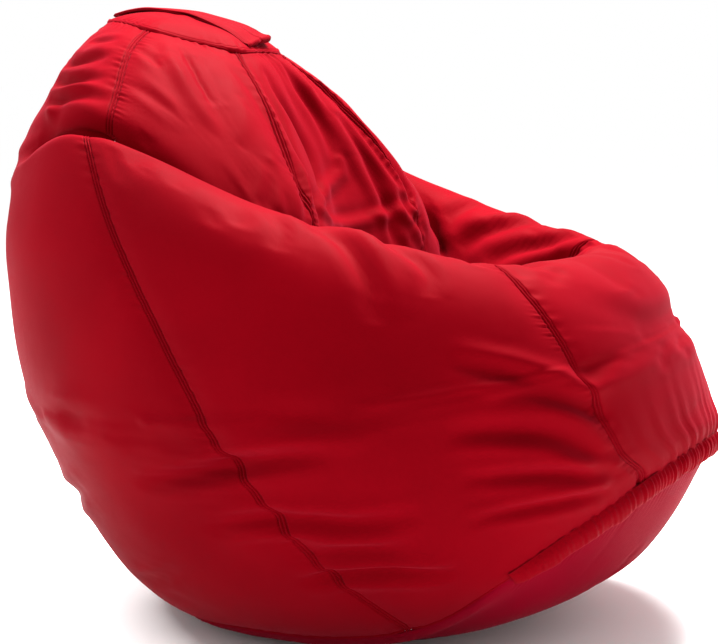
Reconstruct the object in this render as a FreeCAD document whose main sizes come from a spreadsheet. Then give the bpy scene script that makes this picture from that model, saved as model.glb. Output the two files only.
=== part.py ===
import FreeCAD, Part
import math
import os
import Sketcher

# Pear-shaped bean bag chair, six side panels between a hexagonal cap and a round base.
# Millimetres, +Z up, the seat faces -Y, and the origin is on the floor under the middle.
os.makedirs("parts", exist_ok=True)
V = FreeCAD.Vector
doc = FreeCAD.newDocument("BeanBagChair")

# ---------------------------------------------------------------- driving dimensions
SIZES = [
    ("overall_width", 915.0, "widest point, side to side"),
    ("overall_depth", 960.0, "front belly to back belly"),
    ("overall_height", 812.0, "floor to the top of the cap"),
    ("cover_thickness", 1.5, "outer fabric with its coating"),
    ("liner_depth", 2.6, "liner's outer face, below the cover's outer face"),
    ("liner_thickness", 0.8, "inner liner fabric"),
    ("fill_depth", 7.0, "surface of the bead fill, below the cover's outer face"),
    ("seam_gap", 0.8, "between the edges of two panels, taken up by the seam"),
    ("zip_radius", 330.0, "arc that the zip follows"),
    ("zip_centre_y", -220.0, "centre of that arc"),
    ("zip_centre_z", 60.0, "centre of that arc"),
    ("zip_tilt", 38.0, "front of the arc tips up by this many degrees"),
    ("zip_span", 120.0, "degrees of arc between the zip's stops"),
    ("zip_lean", 29.0, "slope of the zip tape across its width, degrees"),
    ("zip_gap", 9.0, "from the zip's middle to each fabric edge"),
    ("zip_depth", 2.4, "tape's outer face, below the cover's outer face"),
    ("tape_width", 7.0, "one zip tape"),
    ("tape_thickness", 0.7, "one zip tape"),
    ("coil_width", 2.4, "one row of coil teeth"),
    ("coil_height", 2.2, "one row of coil teeth"),
    ("coil_split", 2.2, "space between the two rows"),
    ("stop_length", 6.0, "bar that ends the zip"),
    ("slider_length", 22.0, "zip slider"),
    ("slider_width", 11.0, "zip slider"),
    ("slider_plate", 1.2, "each plate of the slider"),
    ("slider_play", 0.75, "clearance between a slider plate and the coils"),
    ("slider_post", 1.0, "web that joins the slider's plates"),
    ("bail_width", 2.4, "loop on the slider that holds the pull"),
    ("bail_length", 10.0, "loop on the slider that holds the pull"),
    ("bail_height", 3.9, "loop on the slider that holds the pull"),
    ("pull_length", 24.0, "zip pull tab"),
    ("pull_width", 6.0, "zip pull tab"),
    ("pull_thickness", 1.6, "zip pull tab"),
    ("flap_span", 132.0, "degrees of arc that the zip's flap covers"),
    ("flap_drop", 28.0, "flap, from its stitched edge to its hem"),
    ("flap_thickness", 2.0, "flap, two layers of the cover"),
    ("flap_bulge", 13.0, "how far the flap stands off the zip"),
    ("handle_width", 70.0, "carry handle"),
    ("handle_reach", 206.0, "carry handle, from its seam to its folded end"),
    ("handle_layer", 2.0, "each layer of the handle"),
    ("handle_height", 9.2, "both layers and the space between them"),
    ("cap_slope", 12.4, "the cap tips forward by this many degrees"),
    ("cap_rise", 20.0, "how far the cap's middle stands above its edge"),
]
sheet = doc.addObject("Spreadsheet::Sheet", "Dimensions")
for row, (name, value, note) in enumerate(SIZES, start=1):
    sheet.set("A%d" % row, name)
    sheet.set("B%d" % row, str(value))
    sheet.setAlias("B%d" % row, name)
    sheet.set("C%d" % row, note)
doc.recompute()


def dim(name):
    return float(sheet.get(name))


# ---------------------------------------------------------------- the bag's shape
# Stations run up each meridian, in millimetres at the nominal size: foot, base bulge, base
# seam, low wall, belly, shoulder, ridge, inner wall, seat, back foot, back middle, back top
# and cap edge. Meridians are 30 degrees apart, from the front round the -X side to the back.
FOOT, SEAM, CAP = 0, 2, 12
STATIONS = {
    0: [(0, -175, 0), (0, -380, 95), (0, -480, 263), (0, -480, 325), (0, -446, 410),
        (0, -412, 478), (0, -362, 513), (0, -290, 470), (0, -160, 390), (0, -30, 400),
        (0, 35, 520), (0, 95, 650), (0, 145, 771)],
    30: [(-75, -165, 0), (-165, -335, 86), (-165, -445, 236), (-235, -437, 300),
         (-275, -400, 395), (-275, -345, 475), (-240, -277, 512), (-205, -210, 460),
         (-175, -130, 400), (-175, -40, 440), (-170, -12, 550), (-130, 60, 665),
         (-64, 149, 772)],
    60: [(-125, -120, 0), (-226, -245, 60), (-286, -350, 162), (-375, -300, 240),
         (-430, -200, 355), (-420, -100, 510), (-375, -30, 583), (-310, -10, 550),
         (-270, 0, 480), (-260, 0, 500), (-240, 60, 610), (-185, 135, 710),
         (-100, 200, 784)],
    90: [(-150, -30, 0), (-215, -100, 22), (-290, -195, 62), (-400, -125, 165),
         (-455, -15, 325), (-420, 130, 535), (-360, 205, 652), (-320, 215, 645),
         (-300, 210, 635), (-305, 210, 660), (-265, 220, 710), (-200, 240, 765),
         (-127, 252, 800)],
    120: [(-150, 50, 0), (-208, 58, 11), (-266, 55, 30), (-352, 88, 115),
          (-395, 200, 310), (-352, 303, 500), (-298, 340, 610), (-275, 340, 630),
          (-265, 338, 640), (-258, 335, 660), (-230, 335, 700), (-170, 325, 760),
          (-100, 305, 810)],
    150: [(-90, 115, 0), (-122, 165, 7), (-150, 210, 20), (-190, 283, 94),
          (-228, 382, 300), (-205, 426, 480), (-184, 432, 570), (-182, 430, 600),
          (-178, 428, 620), (-168, 420, 650), (-150, 400, 700), (-110, 380, 760),
          (-64, 352, 814)],
    180: [(0, 150, 0), (0, 205, 5), (0, 252, 16), (0, 340, 85),
          (0, 448, 300), (0, 476, 480), (0, 468, 570), (0, 463, 600),
          (0, 457, 620), (0, 447, 650), (0, 423, 700), (0, 395, 760),
          (0, 358, 814)],
    270: [(150, -30, 0), (215, -100, 22), (290, -195, 62), (400, -125, 165),
          (455, -15, 325), (405, 140, 515), (348, 200, 630), (315, 212, 630),
          (298, 210, 628), (303, 210, 655), (265, 220, 710), (200, 240, 765),
          (127, 252, 800)],
    300: [(125, -120, 0), (226, -245, 60), (286, -350, 162), (371, -294, 240),
          (400, -180, 350), (385, -85, 490), (350, -25, 558), (300, -10, 535),
          (268, 0, 480), (260, 0, 500), (240, 60, 610), (185, 135, 710),
          (100, 200, 784)],
    330: [(75, -165, 0), (165, -335, 86), (165, -445, 236), (226, -428, 300),
          (240, -345, 395), (235, -300, 470), (225, -258, 507), (200, -210, 460),
          (175, -130, 400), (175, -40, 440), (170, -12, 550), (130, 60, 665),
          (64, 149, 772)],
}
NOMINAL = V(915.0, 960.0, 812.0)
MERIDIANS = 12


def station_table():
    """All twelve meridians, scaled to the sheet's overall size."""
    scale = V(dim("overall_width") / NOMINAL.x, dim("overall_depth") / NOMINAL.y,
              dim("overall_height") / NOMINAL.z)
    table = []
    for index in range(MERIDIANS):
        angle = 30 * index
        side = 1.0 if angle in STATIONS else -1.0
        column = STATIONS[angle if angle in STATIONS else 360 - angle]
        table.append([V(side * x * scale.x, y * scale.y, z * scale.z) for x, y, z in column])
    return table


TABLE = station_table()


def blend(a, b, c, d, t):
    """Catmull-Rom blend between b and c."""
    return ((b * 2) + (c - a) * t + (a * 2 - b * 5 + c * 4 - d) * (t * t)
            + (b * 3 - a - c * 3 + d) * (t * t * t)) * 0.5


def along(column, v):
    """Point at station v on one meridian."""
    last = len(column) - 1
    k = min(max(int(math.floor(v)), 0), last - 1)
    before = column[k - 1] if k > 0 else column[0] * 2 - column[1]
    after = column[k + 2] if k + 2 <= last else column[last] * 2 - column[last - 1]
    return blend(before, column[k], column[k + 1], after, v - k)


def bump(x, half):
    """Smooth hump, 1 at zero and 0 beyond half."""
    return 0.5 + 0.5 * math.cos(math.pi * min(abs(x) / half, 1.0))


def from_front(angle):
    """Degrees away from the front meridian."""
    return abs((angle + 180) % 360 - 180)


def near_zip(angle, margin=14.0):
    """1 along the zip, falling to 0 past its ends."""
    end = dim("zip_span") / 2 + 2
    return min(max((end + margin - from_front(angle)) / margin, 0.0), 1.0)


def zip_arc(angle):
    """Point of the circle that the zip follows."""
    radius, tilt, turn = dim("zip_radius"), math.radians(dim("zip_tilt")), math.radians(angle)
    forward = radius * math.cos(turn)
    return V(-radius * math.sin(turn), dim("zip_centre_y") - forward * math.cos(tilt),
             dim("zip_centre_z") + forward * math.sin(tilt))


def plain_surface(angle, v):
    """Point of the stations' surface."""
    u = (angle % 360) / 30.0
    k = int(math.floor(u))
    ring = [along(TABLE[(k + j) % MERIDIANS], v) for j in (-1, 0, 1, 2)]
    return blend(ring[0], ring[1], ring[2], ring[3], u - k)


def surface(angle, v):
    """Point of the bag's outer surface: the stations', drawn onto the zip's circle."""
    point = plain_surface(angle, v)
    pull = bump(v - SEAM, 1.0) * near_zip(angle)
    if pull > 0:
        point = point + (zip_arc(angle) - plain_surface(angle, SEAM)) * pull
    return point


def normal(angle, v):
    """Unit outward normal of the bag's surface."""
    lower, upper = max(v - 0.02, 0.0), min(v + 0.02, float(CAP))
    across = surface(angle + 0.5, v) - surface(angle - 0.5, v)
    upward = surface(angle, upper) - surface(angle, lower)
    n = upward.cross(across)
    return n.normalize()


def inset(angle, v, depth, stand_off=0.0):
    """Point below the outer surface. Behind the zip it goes deeper by stand_off."""
    extra = stand_off * bump(v - SEAM, 0.9) * near_zip(angle, 24.0)
    point = surface(angle, v)
    if v <= 0.001:
        toward = V(normal(angle, 0.3).x, normal(angle, 0.3).y, 0)
        toward.normalize()
        return V(point.x, point.y, depth) - toward * depth
    return point - normal(angle, v) * (depth + extra)


def seam_station(angle, side):
    """Where fabric ends at the base seam: at the zip it stops short on both sides."""
    step = surface(angle, SEAM + 0.25 * side) - surface(angle, SEAM)
    share = near_zip(angle)
    gap = share * dim("zip_gap") + (1 - share) * dim("seam_gap") / 2
    return SEAM + side * 0.25 * gap / step.Length


# ---------------------------------------------------------------- builders for soft pieces
def add_feature(name, shape, placement=FreeCAD.Placement()):
    """Keep a made shape as a sub-part of the document."""
    item = doc.addObject("Part::Feature", name)
    item.Label = name
    item.Shape = shape
    item.Placement = placement
    return item


def solid_from(faces):
    """Close a set of faces into one solid."""
    shell = Part.Shell([f for face in faces for f in face.Faces])
    shell.sewShape()
    solid = Part.Solid(shell)
    if solid.Volume < 0:
        solid.reverse()
    return solid


def patch(grid):
    """Smooth face through a grid of points, with its four border curves."""
    face = Part.BSplineSurface()
    face.interpolate(grid)
    first, last, low, high = face.bounds()
    borders = [face.uIso(first), face.uIso(last), face.vIso(low), face.vIso(high)]
    return face.toShape(), [curve.toShape() for curve in borders]


def gore(start, depth, thickness, stand_off):
    """One side panel, 60 degrees wide, from the base seam up to the cap."""
    edge = math.degrees(dim("seam_gap") / dim("overall_width"))
    angles = [start + edge + (60.0 - 2 * edge) * i / 6 for i in range(7)]
    steps = 26
    grids = []
    for level in (depth, depth + thickness):
        grid = []
        for i in range(steps + 1):
            row = []
            for angle in angles:
                low = seam_station(angle, 1)
                row.append(inset(angle, low + (CAP - low) * i / steps, level, stand_off))
            grid.append(row)
        grids.append(grid)
    outer, outer_edges = patch(grids[0])
    inner, inner_edges = patch(grids[1])
    walls = [Part.makeRuledSurface(a, b) for a, b in zip(outer_edges, inner_edges)]
    return solid_from([outer, inner] + walls)


def ring_wire(points):
    """Smooth closed curve."""
    curve = Part.BSplineCurve()
    steps = [float(i) for i in range(len(points) + 1)]
    curve.interpolate(Points=points, PeriodicFlag=True, Parameters=steps)
    return Part.Wire([curve.toShape()])


RING_ANGLES = [10.0 * i for i in range(36)]


def base_ring(fraction, depth, stand_off):
    """Ring of the base panel, from the foot (0) out to the base seam (1)."""
    points = []
    for angle in RING_ANGLES:
        points.append(inset(angle, seam_station(angle, -1) * fraction, depth, stand_off))
    return ring_wire(points)


def base_disc(depth, thickness, stand_off):
    """Round base panel: a flat foot with its edge turned up to the base seam."""
    fractions = [i / 8.0 for i in range(9)]
    sides = []
    feet = []
    rims = []
    for level in (depth, depth + thickness):
        wires = [base_ring(f, level, stand_off) for f in fractions]
        sides.append(Part.makeLoft(wires, False, False))
        feet.append(Part.Face(wires[0]))
        rims.append(wires[-1].Edges[0])
    rim = Part.makeRuledSurface(rims[0], rims[1])
    return solid_from(sides + feet + [rim])


CAP_RINGS = [(1.0, 0.0), (0.82, 0.45), (0.55, 0.825), (0.15, 1.0)]  # reach, share of rise


def cap_plate(depth, thickness):
    """Six-sided cap, domed in flat facets, inside the tops of the side panels."""
    middle, upright = cap_middle(0.0), cap_upright()
    corners = []
    for index in range(6):
        angle = 30 + 60 * index
        rim = surface(angle, CAP)
        flat = rim - upright * (rim - middle).dot(upright)
        inward = middle - flat
        inward.normalize()
        corners.append(flat + inward * (depth + 2.5) - upright * depth)
    centre = middle - upright * depth

    def dome(lower):
        """Solid below the dome, with its lowest ring one thickness under the rim."""
        wires = []
        for reach, rise in [(1.0, -thickness / dim("cap_rise"))] + CAP_RINGS:
            up = upright * (rise * dim("cap_rise") - lower)
            ring = [centre + (corner - centre) * reach + up for corner in corners]
            wires.append(Part.makePolygon(ring + [ring[0]]))
        return Part.makeLoft(wires, True, True)

    return dome(0.0).cut(dome(thickness))


def cap_upright():
    """Direction that the cap faces."""
    slope = math.radians(dim("cap_slope"))
    return V(0, -math.sin(slope), math.cos(slope))


def cap_middle(depth):
    """Middle of the cap, at a depth below its outer face."""
    top = V(0, 252 * dim("overall_depth") / NOMINAL.y, 793 * dim("overall_height") / NOMINAL.z)
    return top - cap_upright() * depth


def fill_body():
    """Everything inside the liner, with a flat foot and a flat top."""
    depth, upright = dim("fill_depth"), cap_upright()
    wires = []
    steps = 48
    for i in range(steps + 1):
        ring = [inset(angle, CAP * i / steps, depth, 7.0) for angle in RING_ANGLES]
        if i == steps:
            ring = [p - upright * (p - cap_middle(depth)).dot(upright) for p in ring]
        wires.append(ring_wire(ring))
    return Part.makeLoft(wires, True, False)


GORES = [
    ("front", -30.0), ("near_front", 30.0), ("near_back", 90.0),
    ("back", 150.0), ("far_back", 210.0), ("far_front", 270.0),
]
cover = dim("cover_thickness")
for label, start in GORES:
    add_feature("cover_gore_" + label, gore(start, 0.0, cover, 0.0))
    add_feature("liner_gore_" + label,
                gore(start, dim("liner_depth"), dim("liner_thickness"), 7.0))
add_feature("cover_base_panel", base_disc(0.0, cover, 0.0))
add_feature("liner_base_panel",
            base_disc(dim("liner_depth") + 0.8, dim("liner_thickness"), 7.0))
add_feature("cover_top_cap", cap_plate(0.0, cover))
add_feature("liner_top_cap", cap_plate(dim("liner_depth"), dim("liner_thickness")))
add_feature("bead_fill", fill_body())


# ---------------------------------------------------------------- pieces built by feature
def bound(item, **expressions):
    """Bind an object's properties to the sheet."""
    for name, expression in expressions.items():
        item.setExpression(name.replace("__", "."), expression)
    return item


def origin_part(body, role):
    """One of a body's own origin planes or axes."""
    return [f for f in body.Origin.OriginFeatures if f.Role == role][0]


def zip_frame(angle):
    """Frame of the zip's circle: x to the zip, z along its axis, turned by an angle."""
    tilt = math.radians(dim("zip_tilt"))
    out = V(0, -math.cos(tilt), math.sin(tilt))
    axis = V(0, math.sin(tilt), math.cos(tilt))
    centre = V(0, dim("zip_centre_y"), dim("zip_centre_z"))
    frame = FreeCAD.Placement(centre, FreeCAD.Rotation(out, V(1, 0, 0), axis, "ZXY"))
    return frame * FreeCAD.Placement(V(), FreeCAD.Rotation(V(0, 0, 1), angle))


def rectangle(sketch, left, bottom, width, height):
    """Fully constrained rectangle. Every argument is an expression on the sheet."""
    corners = [V(1, 1, 0), V(3, 1, 0), V(3, 2, 0), V(1, 2, 0)]
    for i in range(4):
        sketch.addGeometry(Part.LineSegment(corners[i], corners[(i + 1) % 4]), False)
    for i in range(4):
        sketch.addConstraint(Sketcher.Constraint("Coincident", i, 2, (i + 1) % 4, 1))
    for i, kind in enumerate(["Horizontal", "Vertical", "Horizontal", "Vertical"]):
        sketch.addConstraint(Sketcher.Constraint(kind, i))
    rules = [("DistanceX", -1, 1, 0, 1, left), ("DistanceY", -1, 1, 0, 1, bottom),
             ("DistanceX", 0, 1, 0, 2, width), ("DistanceY", 1, 1, 1, 2, height)]
    for kind, a, pa, b, pb, expression in rules:
        number = sketch.addConstraint(Sketcher.Constraint(kind, a, pa, b, pb, 1.0))
        sketch.setExpression("Constraints[%d]" % number, expression)


def zip_band(name, left, bottom, width, height, start, span):
    """Strip of the zip: a rectangle turned about the axis of the zip's circle."""
    body = doc.addObject("PartDesign::Body", name)
    body.Label = name
    sketch = body.newObject("Sketcher::SketchObject", name + "_section")
    sketch.AttachmentSupport = [(origin_part(body, "XZ_Plane"), "")]
    sketch.MapMode = "FlatFace"
    sketch.AttachmentOffset = FreeCAD.Placement(V(dim("zip_radius"), 0, 0),
                                                FreeCAD.Rotation(V(0, 0, 1), dim("zip_lean")))
    bound(sketch, AttachmentOffset__Base__x="Dimensions.zip_radius",
          AttachmentOffset__Rotation__Angle="Dimensions.zip_lean")
    rectangle(sketch, left, bottom, width, height)
    turned = body.newObject("PartDesign::Revolution", name + "_turn")
    turned.Profile = sketch
    turned.ReferenceAxis = (origin_part(body, "Z_Axis"), [""])
    turned.setExpression("Angle", span)
    body.Placement = zip_frame(start)
    return body


TAPE_START = "Dimensions.coil_split / 2 + Dimensions.coil_width"
COIL_BOTTOM = "Dimensions.zip_depth + (Dimensions.tape_thickness - Dimensions.coil_height) / 2"
half_zip = dim("zip_span") / 2
stop_turn = math.degrees(dim("stop_length") / dim("zip_radius"))
SPAN = "Dimensions.zip_span"
TAPE_SPAN = "Dimensions.zip_span + 2 * Dimensions.stop_length / Dimensions.zip_radius * 180 / pi"
STOP_SPAN = "Dimensions.stop_length / Dimensions.zip_radius * 180 / pi"
zip_band("zip_tape_upper", TAPE_START, "Dimensions.zip_depth", "Dimensions.tape_width",
         "Dimensions.tape_thickness", -half_zip - stop_turn, TAPE_SPAN)
zip_band("zip_tape_lower", "-(%s) - Dimensions.tape_width" % TAPE_START,
         "Dimensions.zip_depth", "Dimensions.tape_width", "Dimensions.tape_thickness",
         -half_zip - stop_turn, TAPE_SPAN)
zip_band("zip_coil_upper", "Dimensions.coil_split / 2", COIL_BOTTOM, "Dimensions.coil_width",
         "Dimensions.coil_height", -half_zip, SPAN)
zip_band("zip_coil_lower", "-Dimensions.coil_split / 2 - Dimensions.coil_width", COIL_BOTTOM,
         "Dimensions.coil_width", "Dimensions.coil_height", -half_zip, SPAN)
for name, start in (("zip_stop_near", -half_zip - stop_turn), ("zip_stop_far", half_zip)):
    zip_band(name, "-(%s)" % TAPE_START, COIL_BOTTOM, "2 * (%s)" % TAPE_START,
             "Dimensions.coil_height", start, STOP_SPAN)


def zip_spot(angle):
    """Frame on the zip: x across it, y along it, z into the bag."""
    lean = FreeCAD.Rotation(V(0, 1, 0), -dim("zip_lean"))
    return zip_frame(angle) * FreeCAD.Placement(V(dim("zip_radius"), 0, 0), lean)


def block(name, length, width, height, x, y, z):
    """Box whose sizes and corner are expressions on the sheet."""
    box = doc.addObject("Part::Box", name)
    return bound(box, Length=length, Width=width, Height=height, Placement__Base__x=x,
                 Placement__Base__y=y, Placement__Base__z=z)


def fused(name, blocks, placement):
    """Join blocks into one sub-part."""
    item = doc.addObject("Part::MultiFuse", name)
    item.Label = name
    item.Shapes = blocks
    item.Placement = placement
    return item


D = "Dimensions."
COIL_TOP = "(%s)" % COIL_BOTTOM
OUTER_PLATE = COIL_TOP + " - Dimensions.slider_play - Dimensions.slider_plate"
INNER_PLATE = COIL_TOP + " + Dimensions.coil_height + Dimensions.slider_play"
slider_at = dim("zip_span") / 2 - 2.5
slider = fused("zip_slider_body", [
    block("slider_outer", D + "slider_width", D + "slider_length", D + "slider_plate",
          "-Dimensions.slider_width / 2", "-Dimensions.slider_length / 2", OUTER_PLATE),
    block("slider_inner", D + "slider_width", D + "slider_length", D + "slider_plate",
          "-Dimensions.slider_width / 2", "-Dimensions.slider_length / 2", INNER_PLATE),
    block("slider_web", D + "slider_post", D + "slider_length / 3",
          "Dimensions.coil_height + 2 * Dimensions.slider_play + 2 * Dimensions.slider_plate",
          "-Dimensions.slider_post / 2", D + "slider_length / 8", OUTER_PLATE),
    block("bail_front", D + "bail_width", "1", D + "bail_height",
          "-Dimensions.bail_width / 2", "-Dimensions.bail_length / 2",
          OUTER_PLATE + " - Dimensions.bail_height"),
    block("bail_rear", D + "bail_width", "1", D + "bail_height",
          "-Dimensions.bail_width / 2", "Dimensions.bail_length / 2 - 1",
          OUTER_PLATE + " - Dimensions.bail_height"),
    block("bail_bridge", D + "bail_width", D + "bail_length", "1",
          "-Dimensions.bail_width / 2", "-Dimensions.bail_length / 2",
          OUTER_PLATE + " - Dimensions.bail_height"),
], zip_spot(slider_at))
PULL_TOP = OUTER_PLATE + " - Dimensions.bail_height + 1.4"
pull = fused("zip_pull_tab", [
    block("pull_crossbar", D + "pull_width", D + "pull_thickness", D + "pull_thickness",
          "-Dimensions.pull_width / 2", "-Dimensions.pull_thickness / 2", PULL_TOP),
    block("pull_arm_up", "1", D + "pull_length", D + "pull_thickness",
          "Dimensions.pull_width / 2 - 1", "-Dimensions.pull_length", PULL_TOP),
    block("pull_arm_down", "1", D + "pull_length", D + "pull_thickness",
          "-Dimensions.pull_width / 2", "-Dimensions.pull_length", PULL_TOP),
    block("pull_grip", D + "pull_width", D + "pull_length * 2 / 3", D + "pull_thickness",
          "-Dimensions.pull_width / 2", "-Dimensions.pull_length", PULL_TOP),
], zip_spot(slider_at))


# ---------------------------------------------------------------- flap over the zip
def flap():
    """Folded strip, stitched above the zip and hanging over it."""
    bulge, drop, layer = dim("flap_bulge"), dim("flap_drop"), dim("flap_thickness")
    top = 14.0
    outer = [V(top, -1.3, 0), V(top - 0.16 * drop, -0.52 * bulge, 0),
             V(top - 0.42 * drop, -0.9 * bulge, 0), V(top - 0.72 * drop, -bulge, 0),
             V(top - drop, -0.82 * bulge, 0)]
    inner = [V(top - drop + 0.6, -0.82 * bulge + layer, 0),
             V(top - 0.72 * drop, -bulge + layer, 0),
             V(top - 0.42 * drop - 0.8, -0.9 * bulge + layer, 0),
             V(top - 0.16 * drop - layer, -0.5 * bulge + layer / 2, 0),
             V(top - layer * 1.3, -1.3, 0)]
    lean = math.radians(dim("zip_lean"))
    corners = []
    for p in outer + inner:
        radial = dim("zip_radius") + p.x * math.cos(lean) - p.y * math.sin(lean)
        axial = p.x * math.sin(lean) + p.y * math.cos(lean)
        corners.append(V(radial, 0, axial))
    face = Part.Face(Part.makePolygon(corners + [corners[0]]))
    return face.revolve(V(), V(0, 0, 1), dim("flap_span"))


add_feature("zip_flap", flap(), zip_frame(-dim("flap_span") / 2))


# ---------------------------------------------------------------- carry handle
def handle():
    """Strip folded on itself: both ends in the cap's back seam, the fold at its front."""
    reach, rise = dim("handle_reach"), dim("cap_rise")
    height, layer = dim("handle_height"), dim("handle_layer")
    low = [(0, 2.5), (20, 0.6 * rise), (49, 0.975 * rise), (92, 1.15 * rise),
           (124, 1.15 * rise), (reach - 41, 1.025 * rise), (reach - 16, 0.725 * rise),
           (reach, 0.34 * rise)]
    outline = [V(x, z, 0) for x, z in low] + [V(reach + 6, 0.34 * rise + 5.2, 0)]
    outline += [V(x + 3 * (x > 124), z + height, 0) for x, z in reversed(low[1:-1])]
    outline.append(V(0, 2.5 + 2 * layer + 2.4, 0))
    body = doc.addObject("PartDesign::Body", "carry_handle")
    body.Label = "carry_handle"
    sketch = body.newObject("Sketcher::SketchObject", "handle_profile")
    sketch.AttachmentSupport = [(origin_part(body, "XZ_Plane"), "")]
    sketch.MapMode = "FlatFace"
    outer = Part.makePolygon(outline + [outline[0]])
    inner = Part.Face(outer).makeOffset2D(-layer).OuterWire
    for wire in (outer, inner):
        points = [vertex.Point for vertex in wire.OrderedVertexes]
        first = sketch.GeometryCount
        for i in range(len(points)):
            line = Part.LineSegment(points[i], points[(i + 1) % len(points)])
            sketch.addGeometry(line, False)
        for i in range(len(points)):
            sketch.addConstraint(Sketcher.Constraint("Coincident", first + i, 2,
                                                     first + (i + 1) % len(points), 1))
    pad = body.newObject("PartDesign::Pad", "handle_strip")
    pad.Profile = sketch
    pad.Midplane = True
    pad.setExpression("Length", "Dimensions.handle_width")
    upright = cap_upright()
    forward = V(0, -upright.z, upright.y)
    seam = cap_middle(0.0) - forward * 108.0
    body.Placement = FreeCAD.Placement(seam, FreeCAD.Rotation(forward, V(1, 0, 0), upright,
                                                              "ZXY"))
    return body


handle()

# ---------------------------------------------------------------- check and write
doc.recompute()
SUBPARTS = [item for item in doc.Objects if item.TypeId == "PartDesign::Body"
            or item.TypeId in ("Part::Feature", "Part::MultiFuse")]
bad = [item.Name for item in doc.Objects if "Invalid" in item.State or "Error" in item.State]
if bad:
    raise RuntimeError("failed objects: %s" % bad)
for item in SUBPARTS:
    shape = item.Shape
    if shape.isNull() or not shape.isValid() or len(shape.Solids) != 1:
        raise RuntimeError("%s is not one sound solid" % item.Label)
    shape.exportStep("parts/%s.step" % item.Label)
    box = shape.optimalBoundingBox()
    print("%-24s %9.3f litre  x %7.1f %7.1f  y %7.1f %7.1f  z %7.1f %7.1f" % (
        item.Label, shape.Volume / 1e6, box.XMin, box.XMax, box.YMin, box.YMax,
        box.ZMin, box.ZMax))
print(len(SUBPARTS), "sub-parts")
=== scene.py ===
import math

import bpy
import numpy as np
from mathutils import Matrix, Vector, noise


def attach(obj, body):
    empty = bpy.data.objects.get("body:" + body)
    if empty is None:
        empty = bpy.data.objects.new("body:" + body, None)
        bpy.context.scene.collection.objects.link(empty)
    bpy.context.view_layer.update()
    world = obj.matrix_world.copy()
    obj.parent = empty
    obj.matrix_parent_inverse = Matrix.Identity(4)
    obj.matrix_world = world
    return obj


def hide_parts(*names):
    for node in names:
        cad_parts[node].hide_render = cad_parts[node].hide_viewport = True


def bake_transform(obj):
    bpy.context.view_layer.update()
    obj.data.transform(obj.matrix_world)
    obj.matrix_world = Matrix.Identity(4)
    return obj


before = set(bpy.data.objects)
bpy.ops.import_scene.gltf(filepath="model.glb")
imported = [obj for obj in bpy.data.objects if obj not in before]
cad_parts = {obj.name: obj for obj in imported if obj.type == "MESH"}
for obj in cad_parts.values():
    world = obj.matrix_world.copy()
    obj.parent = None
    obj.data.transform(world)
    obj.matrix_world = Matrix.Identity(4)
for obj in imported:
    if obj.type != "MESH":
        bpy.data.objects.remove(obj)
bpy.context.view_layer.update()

scene = bpy.context.scene

# ---------------------------------------------------------------- the bag's shape
# Stations up each meridian, in metres: foot, base bulge, base seam, low wall, belly,
# shoulder, ridge, inner wall, seat, back foot, back middle, back top and cap edge.
# Meridians are 30 degrees apart, from the front round the -X side to the back.
SEAM, CAP = 2.0, 12.0
STATIONS = {
    0: [(0, -.175, 0), (0, -.380, .095), (0, -.480, .263), (0, -.480, .325),
        (0, -.446, .410), (0, -.412, .478), (0, -.362, .513), (0, -.290, .470),
        (0, -.160, .390), (0, -.030, .400), (0, .035, .520), (0, .095, .650),
        (0, .145, .771)],
    30: [(-.075, -.165, 0), (-.165, -.335, .086), (-.165, -.445, .236),
         (-.235, -.437, .300), (-.275, -.400, .395), (-.275, -.345, .475),
         (-.240, -.277, .512), (-.205, -.210, .460), (-.175, -.130, .400),
         (-.175, -.040, .440), (-.170, -.012, .550), (-.130, .060, .665),
         (-.064, .149, .772)],
    60: [(-.125, -.120, 0), (-.226, -.245, .060), (-.286, -.350, .162),
         (-.375, -.300, .240), (-.430, -.200, .355), (-.420, -.100, .510),
         (-.375, -.030, .583), (-.310, -.010, .550), (-.270, 0, .480), (-.260, 0, .500),
         (-.240, .060, .610), (-.185, .135, .710), (-.100, .200, .784)],
    90: [(-.150, -.030, 0), (-.215, -.100, .022), (-.290, -.195, .062),
         (-.400, -.125, .165), (-.455, -.015, .325), (-.420, .130, .535),
         (-.360, .205, .652), (-.320, .215, .645), (-.300, .210, .635),
         (-.305, .210, .660), (-.265, .220, .710), (-.200, .240, .765),
         (-.127, .252, .800)],
    120: [(-.150, .050, 0), (-.208, .058, .011), (-.266, .055, .030), (-.352, .088, .115),
          (-.395, .200, .310), (-.352, .303, .500), (-.298, .340, .610),
          (-.275, .340, .630), (-.265, .338, .640), (-.258, .335, .660),
          (-.230, .335, .700), (-.170, .325, .760), (-.100, .305, .810)],
    150: [(-.090, .115, 0), (-.122, .165, .007), (-.150, .210, .020), (-.190, .283, .094),
          (-.228, .382, .300), (-.205, .426, .480), (-.184, .432, .570),
          (-.182, .430, .600), (-.178, .428, .620), (-.168, .420, .650),
          (-.150, .400, .700), (-.110, .380, .760), (-.064, .352, .814)],
    180: [(0, .150, 0), (0, .205, .005), (0, .252, .016), (0, .340, .085),
          (0, .448, .300), (0, .476, .480), (0, .468, .570), (0, .463, .600),
          (0, .457, .620), (0, .447, .650), (0, .423, .700), (0, .395, .760),
          (0, .358, .814)],
}
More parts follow.
